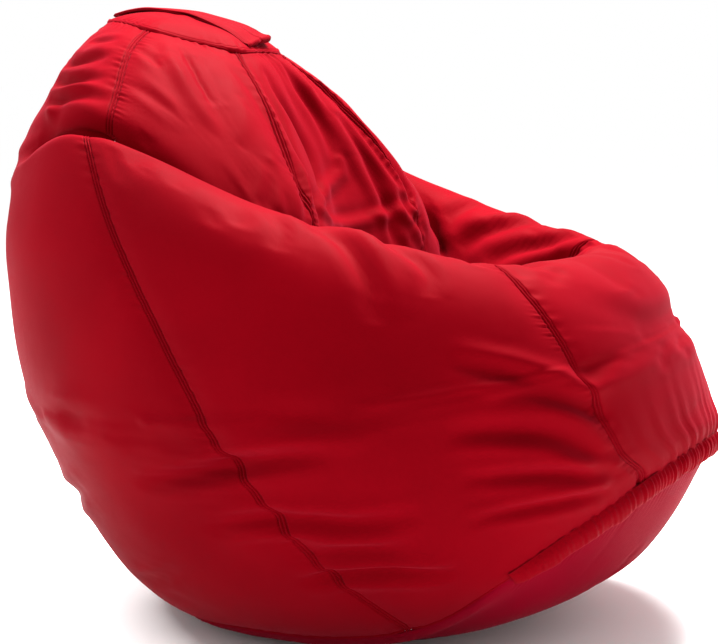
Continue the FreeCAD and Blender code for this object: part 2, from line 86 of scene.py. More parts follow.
# The far side mirrors the near one, but for these: first station, then its own points.
FAR_STATIONS = {
    270: (5, [(.405, .140, .515), (.348, .200, .630), (.315, .212, .630),
              (.298, .210, .628), (.303, .210, .655)]),
    300: (3, [(.371, -.294, .240), (.400, -.180, .350), (.385, -.085, .490),
              (.350, -.025, .558), (.300, -.010, .535), (.268, 0, .480)]),
    330: (3, [(.226, -.428, .300), (.240, -.345, .395), (.235, -.300, .470),
              (.225, -.258, .507), (.200, -.210, .460)]),
}
ZIP_RADIUS, ZIP_TILT, ZIP_CENTRE = 0.330, math.radians(38), np.array([0, -0.220, 0.060])
ZIP_HALF = 60.0  # degrees from the front to each stop
ZIP_GAP = 0.009
CAP_SLOPE = math.radians(12.4)
CAP_MIDDLE = np.array([0, 0.252, 0.793])
CAP_UP = np.array([0, -math.sin(CAP_SLOPE), math.cos(CAP_SLOPE)])
CAP_FORWARD = np.array([0, -CAP_UP[2], CAP_UP[1]])
CAP_RISE = 0.021
BASE_MIDDLE = np.array([0, 0.03, 0])
COVER, LINING, FLAP_CLOTH, HANDLE_CLOTH = 0.0015, 0.0008, 0.0018, 0.0016  # thicknesses
HANDLE_SEAM = CAP_MIDDLE - CAP_FORWARD * 0.108
HANDLE_WIDTH = 0.070


def unit(v):
    return v / np.maximum(np.linalg.norm(v, axis=-1, keepdims=True), 1e-12)


def weights(f):
    """Catmull-Rom weights of four neighbours at fraction f."""
    return (0.5 * (-f + 2 * f * f - f ** 3), 0.5 * (2 - 5 * f * f + 3 * f ** 3),
            0.5 * (f + 4 * f * f - 3 * f ** 3), 0.5 * (-f * f + f ** 3))


def sample(table, angle, v, per_turn, per_station):
    """Smooth value at meridian angles and stations from a table[angle, station]."""
    u = (angle % 360.0) / 360.0 * per_turn
    w = np.clip(v, 0, CAP) * per_station
    k = np.floor(u).astype(int)
    j = np.clip(np.floor(w).astype(int), 0, table.shape[1] - 2)
    fu, fw = u - k, w - j
    total = 0
    for a, wa in zip((-1, 0, 1, 2), weights(fu)):
        for b, wb in zip((-1, 0, 1, 2), weights(fw)):
            row = j + b
            low, high = row < 0, row > table.shape[1] - 1
            row = np.clip(row, 0, table.shape[1] - 1)
            value = table[(k + a) % per_turn, row]
            mirror = np.where(low, 1, table.shape[1] - 2)
            edge = np.where(low, 0, table.shape[1] - 1)
            outside = (low | high)[..., None]
            column = (k + a) % per_turn
            value = np.where(outside, 2 * table[column, edge] - table[column, mirror], value)
            total = total + (wa * wb)[..., None] * value
    return total


def station_table():
    columns = []
    for angle in range(0, 360, 30):
        side = 1 if angle <= 180 else -1
        column = np.array(STATIONS[angle if side > 0 else 360 - angle], float) * [side, 1, 1]
        if angle in FAR_STATIONS:
            first, points = FAR_STATIONS[angle]
            column[first:first + len(points)] = points
        columns.append(column)
    return np.array(columns)


TABLE = station_table()


def bump(x, half):
    """Smooth hump, 1 at zero and 0 beyond half."""
    return 0.5 + 0.5 * np.cos(np.pi * np.minimum(np.abs(x) / half, 1.0))


def from_front(angle):
    return np.abs((angle + 180) % 360 - 180)


def near_zip(angle, margin=14.0):
    """1 along the zip, falling to 0 past its ends."""
    return np.clip((ZIP_HALF + 2 + margin - from_front(angle)) / margin, 0, 1)


def zip_point(angle, radial, axial):
    """Point in the frame of the zip's circle; positive angles go towards -X."""
    turn = np.radians(angle)
    reach = ZIP_RADIUS + radial
    out = np.stack([-np.sin(turn), -np.cos(turn) * math.cos(ZIP_TILT),
                    np.cos(turn) * math.sin(ZIP_TILT)], -1)
    axis = np.array([0, math.sin(ZIP_TILT), math.cos(ZIP_TILT)])
    return ZIP_CENTRE + out * np.asarray(reach)[..., None] + axis * np.asarray(axial)[..., None]


def plain_surface(angle, v):
    return sample(TABLE, angle, v, 12, 1)


def bag_surface(angle, v):
    """The bag's smooth surface, drawn onto the zip's circle."""
    point = plain_surface(angle, v)
    pull = bump(v - SEAM, 1.0) * near_zip(angle)
    level = plain_surface(angle, np.full_like(v, SEAM))
    circle = zip_point(angle, np.zeros_like(angle), np.zeros_like(angle))
    return point + (circle - level) * pull[..., None]


TURN, PER = 360, 20  # the fine table: one column a degree, twenty rows a station
ANGLES, LEVELS = np.meshgrid(np.arange(TURN) * 1.0, np.arange(int(CAP) * PER + 1) / PER,
                             indexing="ij")


def normals_of(grid):
    """Outward normals of a closed-round grid[angle, station]."""
    across = np.roll(grid, -1, 0) - np.roll(grid, 1, 0)
    up = np.gradient(grid, axis=1)
    return unit(np.cross(up, across))


# ---------------------------------------------------------------- folds in the cloth
def curve_through(points, count):
    """Smooth open line through points, evenly shared out between them."""
    p = np.array(points, float)
    at = np.linspace(0, len(p) - 1, count)
    k = np.clip(np.floor(at).astype(int), 0, len(p) - 2)
    f = (at - k)[:, None]
    ends = np.concatenate([2 * p[:1] - p[1:2], p, 2 * p[-1:] - p[-2:-1]])
    w = weights(f)
    return sum(w[i] * ends[k + i] for i in range(4))


def track(points, count=28):
    """Line on the bag through (angle, station) points."""
    q = curve_through(points, count)
    return bag_surface(q[:, 0], q[:, 1])


def fold(grid, normal, points, depth, width, shoulder, lean=0.0):
    """Height of one fold over the grid: a valley where depth is positive, with a raised
    shoulder on each side, the one to the left of its run higher when lean is positive."""
    line = track(points)
    reach = width * 4.5
    low, high = line.min(0) - reach, line.max(0) + reach
    inside = np.all((grid > low) & (grid < high), axis=-1)
    place = grid[inside]
    height = np.zeros(grid.shape[:2])
    if len(place) == 0:
        return height
    a, b = line[:-1], line[1:]
    run = b - a
    length = np.linalg.norm(run, axis=1)
    start = np.concatenate([[0], np.cumsum(length)])
    best = np.full(len(place), 1e9)
    along = np.zeros(len(place))
    side = np.zeros(len(place))
    for i in range(len(run)):
        offset = place - a[i]
        t = np.clip(offset @ run[i] / max(length[i] ** 2, 1e-12), 0, 1)
        gap = offset - t[:, None] * run[i]
        distance = np.linalg.norm(gap, axis=1)
        closer = distance < best
        best = np.where(closer, distance, best)
        along = np.where(closer, (start[i] + t * length[i]) / start[-1], along)
        turn = np.cross(normal[inside], run[i] / max(length[i], 1e-9))
        side = np.where(closer, np.sign((gap * turn).sum(1)), side)
    x = best / width
    fade = np.sin(np.pi * np.clip(along, 0, 1)) ** 0.6
    shape = -np.exp(-x ** 2) + shoulder * (1 + lean * side) * np.exp(-((x - 1.75) / 0.95) ** 2)
    height[inside] = depth * fade * shape
    return height


# Each fold: (angle, station) points, depth, width, shoulder and, if it leans, lean.
FOLDS = [
    # level folds across the near side seam, where the wall settles
    ([(112, 3.66), (101, 3.72), (90, 3.78), (80, 3.80), (70, 3.78)], .010, .012, .6, .3),
    ([(104, 3.36), (96, 3.42), (86, 3.36), (76, 3.22), (66, 3.12)], .009, .011, .6, -.2),
    ([(96, 2.88), (88, 2.86), (80, 2.76), (72, 2.50)], .009, .010, .6, .2),
    ([(90, 3.10), (82, 3.05), (74, 2.92)], .004, .009, .5),
    # folds that run into the low end of the near front seam
    ([(46, 4.30), (40, 4.10), (34, 3.78), (30, 3.50)], .0085, .011, .5, .4),
    ([(43, 3.95), (37, 3.80), (32, 3.55), (29, 3.35)], .006, .008, .5),
    ([(52, 3.72), (45, 3.60), (38, 3.35), (33, 2.75)], .009, .011, .6, -.3),
    ([(56, 3.30), (48, 3.15), (40, 2.90), (34, 2.50)], .007, .009, .5, .2),
    ([(62, 2.90), (54, 2.80), (46, 2.60), (38, 2.35)], .007, .008, .5, .2),
    # the gap behind the near arm, where the head sinks in
    ([(122, 8.3), (104, 8.55), (86, 8.7), (70, 8.75), (58, 8.7)], .020, .020, .15),
    # ledge on the front, where the lip rolls over the wall
    ([(26, 5.20), (20, 4.80), (13, 4.38), (4, 4.05), (354, 4.10)], .008, .016, .5, .5),
    ([(340, 4.35), (350, 4.15), (2, 3.90), (12, 3.95)], .005, .012, .5, .3),
    # the backrest: ridges and valleys that hang from the cap
    ([(30, 11.9), (29, 11.4), (27, 10.9), (26, 10.3), (30, 9.7)], -.006, .011, .4),
    ([(16, 11.75), (13, 11.45), (8, 11.1), (6, 10.7), (12, 10.1)], .010, .017, .3),
    ([(353, 11.8), (350, 11.5), (348, 11.2), (350, 10.7)], .008, .013, .3, .4),
    ([(338, 11.9), (345, 11.4), (350, 10.6), (354, 10.0), (0, 9.5)], -.0075, .010, .3),
    ([(330, 11.9), (326, 11.3), (330, 10.6), (334, 9.9)], -.006, .010, .3),
    ([(338, 11.2), (340, 10.7), (342, 10.2), (345, 9.7)], .009, .013, .3),
    ([(320, 11.6), (322, 11.0), (326, 10.4), (331, 9.7)], .007, .013, .4),
    ([(310, 11.2), (308, 10.6), (309, 10.0), (314, 9.5)], -.005, .014, .3),
    # the flat facet on the near shoulder of the head, between two ridges
    ([(76, 11.9), (72, 11.3), (66, 10.8), (61, 10.4)], -.005, .012, .5),
    ([(61, 11.6), (58, 11.2), (56, 10.9)], .006, .022, .2),
    ([(44, 11.2), (48, 10.8), (54, 10.45)], -.003, .014, .3),
    ([(36, 10.6), (40, 10.2), (44, 9.8)], .004, .009, .5),
    ([(42, 10.5), (46, 10.15), (52, 9.8)], .0035, .010, .5),
    ([(24, 11.2), (24, 10.7), (30, 10.1), (36, 9.7)], -.004, .006, .5),
    # short level creases across the near side seam of the head
    ([(140, 10.9), (128, 10.85), (112, 10.80), (98, 10.75)], .006, .010, .6, .3),
    ([(136, 10.5), (124, 10.45), (110, 10.35), (96, 10.25)], .0055, .009, .6, -.2),
    ([(128, 10.1), (116, 10.0), (104, 9.9), (92, 9.75)], .005, .009, .6, .2),
    ([(124, 11.35), (112, 11.3), (100, 11.25)], .0035, .008, .5),
    ([(90, 11.2), (84, 11.15), (76, 11.0)], .003, .008, .5),
    ([(88, 10.4), (80, 10.3), (72, 10.2)], .003, .009, .5),
    # the far side's copies, placed a little differently
    ([(222, 10.8), (236, 10.75), (252, 10.7), (264, 10.65)], .0055, .010, .6),
    ([(226, 10.3), (240, 10.3), (254, 10.2), (266, 10.1)], .005, .009, .6, .2),
    ([(288, 11.3), (294, 10.8), (300, 10.3)], -.0045, .013, .4),
    ([(300, 11.6), (302, 11.1), (303, 10.6)], .005, .018, .3),
    # pinch where the lip meets the near arm, and the bundle on the far arm
    ([(53, 6.3), (50, 5.7), (50, 5.1), (52, 4.6)], .009, .014, .5, .6),
    ([(45, 6.2), (43, 5.8), (42, 5.3), (44, 4.9)], .006, .011, .5, -.2),
    ([(58, 6.2), (57, 5.7), (60, 5.2)], .0035, .010, .5),
    ([(38, 6.5), (34, 6.1), (33, 5.6)], .0035, .010, .5),
    ([(308, 7.6), (311, 7.0), (314, 6.5), (317, 6.0)], .009, .014, .5, .4),
    ([(316, 7.5), (320, 6.9), (324, 6.4), (327, 5.9)], .0075, .012, .5),
    ([(324, 7.4), (329, 6.8), (334, 6.3)], .006, .011, .5, -.3),
    ([(302, 7.3), (304, 6.7), (306, 6.2)], .0045, .012, .5),
    ([(312, 5.5), (310, 4.9), (312, 4.3)], .005, .014, .5),
    # the far wall, mostly out of sight: the same kinds of fold as the near one
    ([(252, 3.70), (264, 3.82), (276, 3.80), (288, 3.74)], .007, .012, .6),
    ([(258, 3.30), (270, 3.36), (282, 3.22), (294, 3.10)], .006, .011, .6, .2),
    ([(266, 2.90), (276, 2.82), (286, 2.62)], .006, .010, .6),
    ([(316, 4.20), (323, 3.95), (329, 3.60)], .0055, .012, .5),
    ([(310, 3.60), (318, 3.40), (326, 2.85)], .0055, .011, .5),
    ([(302, 3.05), (312, 2.85), (322, 2.50)], .005, .010, .5),
    # the back: long shallow hollows, and creases under the head
    ([(150, 8.6), (165, 8.35), (180, 8.3), (197, 8.45), (212, 8.6)], .009, .016, .5, .3),
    ([(142, 7.6), (160, 7.25), (178, 7.2), (194, 7.35)], .006, .014, .5),
    ([(168, 9.8), (182, 9.7), (198, 9.8)], .0045, .012, .5),
    ([(140, 5.9), (156, 5.6), (170, 5.5)], .0045, .018, .4),
    ([(188, 5.9), (204, 5.6), (222, 5.7)], .005, .018, .4, .2),
    ([(130, 3.6), (146, 3.45), (162, 3.4), (176, 3.45)], .006, .014, .5),
    ([(192, 3.5), (208, 3.4), (224, 3.5), (238, 3.6)], .006, .014, .5, .2),
    ([(150, 2.95), (168, 2.85), (186, 2.9), (204, 2.95)], .005, .010, .5),
    ([(118, 3.1), (128, 2.95), (140, 2.85)], .005, .010, .5),
    ([(222, 2.95), (232, 3.0), (244, 3.1)], .005, .010, .5),
    # the seat
    ([(30, 8.6), (14, 8.3), (356, 8.35), (338, 8.6)], .005, .018, .4),
    ([(352, 7.7), (2, 7.5), (12, 7.6)], .004, .012, .4),
    ([(62, 8.2), (56, 8.7), (48, 9.0)], .006, .012, .5),
    ([(298, 8.2), (304, 8.7), (312, 9.0)], .006, .012, .5),
]


def lumps(grid, size, seed):
    """Slow unevenness from the beads, from -1 to 1."""
    flat = grid.reshape(-1, 3) / size
    shift = Vector((seed * 3.1, seed * 5.7, seed * 1.3))
    values = [noise.noise(Vector(p) + shift) for p in flat]
    return np.array(values).reshape(grid.shape[:2])


def shaped_bag():
    """The fine table of the bag with its folds and unevenness."""
    grid = bag_surface(ANGLES, LEVELS)
    normal = normals_of(grid)
    height = np.zeros(grid.shape[:2])
    for points, *form in FOLDS:
        height += fold(grid, normal, points, *form)
    # the front wall is a little flatter than the stations make it
    height -= 0.009 * bump((ANGLES + 17 + 180) % 360 - 180, 30) * bump(LEVELS - 2.95, 0.85)
    height += 0.0035 * lumps(grid, 0.16, 1) + 0.0013 * lumps(grid, 0.06, 2)
    # quiet where the floor, the zip and the cap hold it
    hold = np.clip(LEVELS / 1.2, 0, 1) * np.clip((CAP - LEVELS) / 0.5, 0, 1)
    hold *= 1 - 0.9 * bump(LEVELS - SEAM, 0.35) * near_zip(ANGLES)
    grid = grid + normal * (height * hold)[..., None]
    grid[..., 2] = np.maximum(grid[..., 2], 0.0)
    return grid


# ---------------------------------------------------------------- cloth pass
def settle(grid, stretch=1.03, pressure=3.0, steps=22, limit=0.016):
    """Inflate slightly oversized cloth between its pinned seams, so that it puckers along
    them, and keep at most limit of the movement."""
    stride = 2
    coarse = grid[::stride, ::stride]
    columns, rows = coarse.shape[:2]
    points = coarse.reshape(-1, 3)
    index = np.arange(columns * rows).reshape(columns, rows)
    right = np.roll(index, -1, 0)
    faces = np.stack([index[:, :-1], index[:, 1:], right[:, 1:], right[:, :-1]], -1)
    faces = faces.reshape(-1, 4).tolist()
    # both ends close on a middle point
    low, high = len(points), len(points) + 1
    points = np.concatenate([points, [BASE_MIDDLE], [CAP_MIDDLE]])
    for c in range(columns):
        d = (c + 1) % columns
        faces.append([low, int(index[c, 0]), int(index[d, 0])])
        faces.append([high, int(index[d, -1]), int(index[c, -1])])
    mesh = bpy.data.meshes.new("settling")
    mesh.from_pydata(points.tolist(), [], faces)
    bag = bpy.data.objects.new("settling", mesh)
    scene.collection.objects.link(bag)
    bag.shape_key_add(name="now")
    loose = bag.shape_key_add(name="loose")
    middle = np.array([0, 0.05, 0.35])
    loose.data.foreach_set("co", (middle + (points - middle) * stretch).ravel())
    loose.value = 0.0
    bag.active_shape_key_index = 0
    angle = np.arange(columns) * float(stride)
    from_seam = np.abs((angle - 30 + 30) % 60 - 30)
    level = np.arange(rows) * stride / PER
    hold = np.maximum(np.clip(1 - from_seam / 2.5, 0, 1)[:, None] * 0.9,
                      np.maximum(np.clip(1 - np.abs(level - SEAM) / 0.15, 0, 1),
                                 np.clip(1 - np.abs(level - 9.0) / 0.5, 0, 1) * 0.5)[None])
    hold[:, level <= 0.2] = 1
    hold[:, -1] = 1
    group = bag.vertex_groups.new(name="held")
    values = np.concatenate([hold.ravel(), [1, 1]])
    for i, value in enumerate(values):
        if value > 0.01:
            group.add([i], float(value), "REPLACE")
    cloth = bag.modifiers.new("cloth", "CLOTH")
    settings = cloth.settings
    settings.quality = 5
    settings.mass = 0.25
    settings.tension_stiffness = 12
    settings.compression_stiffness = 12
    settings.shear_stiffness = 4
    settings.bending_stiffness = 0.15
    settings.tension_damping = 8
    settings.compression_damping = 8
    settings.shear_damping = 8
    settings.air_damping = 3
    settings.rest_shape_key = loose
    settings.use_pressure = True
    settings.uniform_pressure_force = pressure
    settings.vertex_group_mass = "held"
    settings.pin_stiffness = 1.0
    settings.effector_weights.gravity = 0
    cloth.collision_settings.use_collision = False
    cloth.point_cache.frame_start = 1
    cloth.point_cache.frame_end = steps
    for step in range(1, steps + 1):
        scene.frame_set(step)
    depsgraph = bpy.context.evaluated_depsgraph_get()
    result = bag.evaluated_get(depsgraph)
    moved = np.empty(len(points) * 3)
    result.data.vertices.foreach_get("co", moved)
    moved = moved.reshape(-1, 3)
    bpy.data.objects.remove(bag)
    scene.frame_set(1)
    shift = (moved - points)[:columns * rows].reshape(columns, rows, 3)
    size = np.linalg.norm(shift, axis=-1, keepdims=True)
    shift = shift * (limit * np.tanh(size / limit) / np.maximum(size, 1e-9))
    return grid + sample(shift, ANGLES, LEVELS, columns, PER // stride)


bag = shaped_bag()
bag = settle(bag)
bag[..., 2] = np.maximum(bag[..., 2], 0.0)
BAG_NORMAL = normals_of(bag)
BAG = np.concatenate([bag, BAG_NORMAL], -1)


def bag_at(angle, v):
    """Point and outward normal of the finished bag."""
    both = sample(BAG, angle, v, TURN, PER)
    return both[..., :3], unit(both[..., 3:])


def neighbours(grid):
    """The entries beside each one of a table, round the bag and up it."""
    padded = np.pad(grid, ((0, 0), (1, 1)), "edge")
    return [np.roll(grid, 1, 0), np.roll(grid, -1, 0), padded[:, 2:], padded[:, :-2]]


def hollow_side():
    """The fine table seen from inside: each valley reaches its whole neighbourhood."""
    smooth = bag_surface(ANGLES, LEVELS)
    normal = normals_of(smooth)
    height = ((BAG[..., :3] - smooth) * normal).sum(-1)
    for _ in range(4):
        height = np.minimum.reduce([height] + neighbours(height))
    for _ in range(3):
        height = sum(neighbours(height), 2 * height) / 6
    return np.concatenate([smooth + normal * np.minimum(height, 0.0)[..., None], normal], -1)


HOLLOW = hollow_side()


def hollow_at(angle, v):
    """Point and outward normal of the bag's smooth inside."""
    both = sample(HOLLOW, angle, v, TURN, PER)
    return both[..., :3], unit(both[..., 3:])


# ---------------------------------------------------------------- meshes from grids
def make_object(name, points, faces, uv=None, smooth=True):
    mesh = bpy.data.meshes.new(name)
    mesh.from_pydata(np.asarray(points, float).reshape(-1, 3).tolist(), [], faces)
    if smooth:
        mesh.polygons.foreach_set("use_smooth", [True] * len(mesh.polygons))
    if uv is not None:
        layer = mesh.uv_layers.new(name="UVMap")
        loops = np.empty(len(mesh.loops), int)
        mesh.loops.foreach_get("vertex_index", loops)
        layer.data.foreach_set("uv", np.asarray(uv, float)[loops].ravel())
    mesh.update()
    item = bpy.data.objects.new(name, mesh)
    scene.collection.objects.link(item)
    return item


def grid_faces(index, round_first=False, flip=False):
    after = np.roll(index, -1, 0)
    a, b = (index, after) if round_first else (index[:-1], index[1:])
    faces = np.stack([a[:, :-1], a[:, 1:], b[:, 1:], b[:, :-1]], -1).reshape(-1, 4)
    return (faces[:, ::-1] if flip else faces).tolist()


def strip_faces(first, second):
    return [[int(first[i]), int(first[i + 1]), int(second[i + 1]), int(second[i])]
            for i in range(len(first) - 1)]


def panel(name, outer, normal, thickness, uv=None, round_first=False, centre=None):
    """Closed sheet: a grid, a copy set in by thickness, and the edges between them. With a
    centre, the first column closes on that point instead of having an edge."""
    m, n = outer.shape[:2]
    inner = outer - normal * thickness
    top = np.arange(m * n).reshape(m, n)
    under = top + m * n
    faces = grid_faces(top, round_first) + grid_faces(under, round_first, flip=True)
    ends = [np.append(a, a[0]) if round_first else a
            for a in (top[:, 0], under[:, 0], top[:, -1], under[:, -1])]
    both = [outer.reshape(-1, 3), inner.reshape(-1, 3)]
    uvs = None if uv is None else [uv.reshape(-1, 2)] * 2
    if centre is None:
        faces += strip_faces(ends[1], ends[0])
    else:
        hub = 2 * m * n
        both += [np.array([centre]), np.array([centre]) - normal[:1, 0] * thickness]
        if uvs is not None:
            uvs += [np.array([centre])[:, :2]] * 2
        faces += [[hub, int(ends[0][i]), int(ends[0][i + 1])] for i in range(m)]
        faces += [[hub + 1, int(ends[1][i + 1]), int(ends[1][i])] for i in range(m)]
    faces += strip_faces(ends[2], ends[3])
    if not round_first:
        faces += strip_faces(top[0], under[0])
        faces += strip_faces(under[-1], top[-1])
    uvs = None if uvs is None else np.concatenate(uvs)
    return make_object(name, np.concatenate(both), faces, uvs)


NEAR_EDGE = np.array([0, .9, 1.7, 2.5, 3.2, 3.8, 4.3, 4.8, 5.4, 6.2, 7.4, 9, 11, 14, 18, 23, 29,
                      36]) / 1000


def spread_out(width, middle, edges=(True, True)):
    """Distances across a panel of a given width, closer together at its sewn edges."""
    left = NEAR_EDGE if edges[0] else np.array([0.0])
    right = NEAR_EDGE if edges[1] else np.array([0.0])
    inner = np.linspace(0, 1, middle + 2)[1:-1]
    width = np.asarray(width)[..., None]
    gap = width - right[-1] - left[-1]
    return np.concatenate([left + 0 * width, left[-1] + gap * inner,
                           width - right[::-1]], -1)


STITCH_AT = 0.0045


def sewn_height(distance, along, seed):
    """Height of a topstitched seam at a distance from it: the join, a puffed strip, the
    stitched row, and the gathering beside it."""
    d = np.abs(distance) + 0 * along
    height = -0.0020 * np.exp(-(d / 0.0011) ** 2)
    height += 0.0009 * np.exp(-((d - 0.0024) / 0.0012) ** 2)
    height -= 0.0017 * np.exp(-((d - STITCH_AT) / 0.0010) ** 2)
    height -= 0.0030 * np.exp(-(d / 0.022) ** 2)
    wave = np.sin(along * 2 * np.pi / 0.0135 + 2.2 * np.sin(along * 31 + seed))
    wave += 0.7 * np.sin(along * 2 * np.pi / 0.0215 + 1.7 * np.sin(along * 17 + 2 * seed))
    patchy = 0.55 + 0.45 * np.sin(along * 2 * np.pi / 0.19 + seed * 1.9)
    height += 0.00075 * wave * patchy * np.exp(-((d - 0.008) / 0.0085) ** 2)
    return height


def arc_lengths(points, axis):
    step = np.linalg.norm(np.diff(points, axis=axis), axis=-1)
    zero = np.zeros_like(np.take(step, [0], axis))
    return np.concatenate([zero, np.cumsum(step, axis)], axis)


def seam_station(angle, side):
    """Where fabric ends at the base seam: at the zip it stops short on both sides."""
    level = np.full_like(angle, SEAM)
    step = bag_surface(angle, level + 0.25 * side) - bag_surface(angle, level)
    return level + side * near_zip(angle, 2.5) * 0.25 * ZIP_GAP / np.linalg.norm(step, axis=-1)


def gore(name, start, node):
    """One side panel of the cover, from the base seam to the cap."""
    fine = np.linspace(0, 1, 900)
    low = float(seam_station(np.array([start + 30.0]), 1)[0])
    spine, _ = bag_at(np.full(900, start + 30.0), low + (CAP - low) * fine)
    length = arc_lengths(spine, 0)
    rows = spread_out(length[-1], 300)
    share = np.interp(rows, length, fine)
    count = len(share)
    across = np.linspace(start, start + 60, 25)
    mesh_v = low + (CAP - low) * share
    line, _ = bag_at(np.broadcast_to(across, (count, 25)), np.repeat(mesh_v[:, None], 25, 1))
    width = arc_lengths(line, 1)
    target = spread_out(width[:, -1], 46)
    angle = np.array([np.interp(target[i], width[i], across) for i in range(count)])
    bottom = seam_station(angle, 1)
    v = bottom + (CAP - bottom) * share[:, None]
    point, normal = bag_at(angle, v)
    side = np.minimum(target, width[:, -1:] - target)
    along = np.broadcast_to(rows[:, None], side.shape)
    left = target <= width[:, -1:] / 2
    seed = np.where(left, start, start + 60) % 360 / 60.0
    height = sewn_height(side, along, seed)
    base = np.minimum(rows, 1.0)[:, None]
    top = (length[-1] - rows)[:, None]
    height = height + sewn_height(top, target, 3.3)
    closed = 1 - near_zip(angle)
    height = height + sewn_height(base, target, 1.1) * closed
    # gathers above the zip
    strength = near_zip(angle, 4) * np.exp(-((base - 0.004) / 0.030) ** 2)
    height = height + 0.0013 * strength * gathers(angle)
    turn = np.radians(angle) * ZIP_RADIUS
    pleats = np.sin(turn * 2 * np.pi / 0.026 + 1.5 * np.sin(turn * 21) + 9 * (base - 0.05))
    pleats += 0.6 * np.sin(turn * 2 * np.pi / 0.017 + 1.1 * np.sin(turn * 33 + 2))
    height = height + 0.0015 * near_zip(angle, 6) * np.exp(-(base / 0.075) ** 2) * pleats * (
        0.35 + 0.65 * bump(from_front(angle), 50))
    point = point + normal * height[..., None]
    point[..., 2] = np.maximum(point[..., 2], 0.0)
    uv = np.stack([target - width[:, -1:] / 2 + start * 0.02, np.broadcast_to(
        rows[:, None], side.shape)], -1)
    item = panel(name, point, normal, COVER, uv)
    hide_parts(node)
    return item


def gathers(angle):
    """Uneven pleats along the zip, -1 to 1, about one a centimetre."""
    s = np.radians(angle) * ZIP_RADIUS
    wave = np.sin(s * 2 * np.pi / 0.0112 + 1.6 * np.sin(s * 23) + 0.9 * np.sin(s * 57 + 1))
    return wave * (0.65 + 0.35 * np.sin(s * 2 * np.pi / 0.083 + 0.4))


GORES = [("front", -30.0), ("near_front", 30.0), ("near_back", 90.0), ("back", 150.0),
         ("far_back", 210.0), ("far_front", 270.0)]
cover = [gore("gore_%s_cloth" % label, start, "cover_gore_" + label)
         for label, start in GORES]


def base_cloth():
    """The round base: flat on the floor, with its edge turned up to the base seam."""
    angle = np.arange(720) * 0.5
    top = seam_station(angle, -1)
    share = np.concatenate([np.linspace(0, 0.8, 46)[:-1], np.linspace(0.8, 0.95, 14)[:-1],
                            np.linspace(0.95, 1, 14)])
    a = np.repeat(angle[:, None], len(share), 1)
    v = top[:, None] * share
    point, normal = bag_at(a, v)
    length = arc_lengths(point, 1)
    to_seam = length[:, -1:] - length
    along = np.radians(a) * 0.3
    closed = 1 - near_zip(a)
    height = sewn_height(to_seam, along, 2.0) * closed
    strength = near_zip(a, 4) * np.exp(-(to_seam / 0.035) ** 2)
    height += 0.0008 * strength * gathers(a)
    height *= np.clip(v / 0.4, 0, 1)
    point = point + normal * height[..., None]
    disc = np.linspace(0.04, 1, 30)[:-1]
    flat = BASE_MIDDLE + (point[:, :1] - BASE_MIDDLE) * disc[:, None]
    down = np.broadcast_to([0.0, 0, -1.0], flat.shape)
    blend = np.clip(v / 0.25, 0, 1)[..., None]
    normal = unit(normal * blend + np.array([0, 0, -1.0]) * (1 - blend))
    point = np.concatenate([flat, point], 1)
    point[..., 2] = np.maximum(point[..., 2], 0.0)
    normal = np.concatenate([down, normal], 1)
    item = panel("base_cloth", point, normal, COVER, point[..., :2], round_first=True,
                 centre=BASE_MIDDLE)
    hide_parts("cover_base_panel")
    return item


base = base_cloth()


def cap_cloth():
    """Six-sided cap, a little domed by the beads under it."""
    angle = np.arange(240) * 1.5
    edge, _ = bag_at(angle, np.full(240, CAP))
    share = np.concatenate([np.linspace(0.02, 0.8, 26)[:-1], np.linspace(0.8, 1, 22)])
    middle = edge.mean(0)
    point = middle + (edge[:, None] - middle) * share[None, :, None]
    reach = np.linalg.norm(point - middle, axis=-1)
    to_edge = reach[:, -1:] - reach
    a = np.radians(angle)[:, None] * 0.12
    height = CAP_RISE * (1 - share ** 2.6) + sewn_height(to_edge, a + 0 * share, 3.3)
    height = height + 0.0012 * np.sin(5 * np.radians(angle)[:, None] + 4 * share) * (1 - share)
    point = point + CAP_UP * height[..., None]
    # the edge turns down into the seam
    point = np.concatenate([point, point[:, -1:] - CAP_UP * 0.009], 1)
    normal = np.broadcast_to(CAP_UP, point.shape)
    item = panel("cap_cloth", point, normal, COVER, point[..., :2], round_first=True,
                 centre=middle + CAP_UP * CAP_RISE)
    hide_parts("cover_top_cap")
    return item


cap = cap_cloth()


# ---------------------------------------------------------------- flap over the zip
FLAP_HALF = 65.0  # degrees from the front to each end
FLAP_LEAN = math.radians(29.4)
FLAP_TOP = 0.0145  # its sewn edge, above the zip


def section_frame(angle, across, depth):
    """Point near the zip: across it, positive upwards, and depth into the bag."""
    radial = across * math.cos(FLAP_LEAN) - depth * math.sin(FLAP_LEAN)
    axial = across * math.sin(FLAP_LEAN) + depth * math.cos(FLAP_LEAN)
    return zip_point(angle, radial, axial)


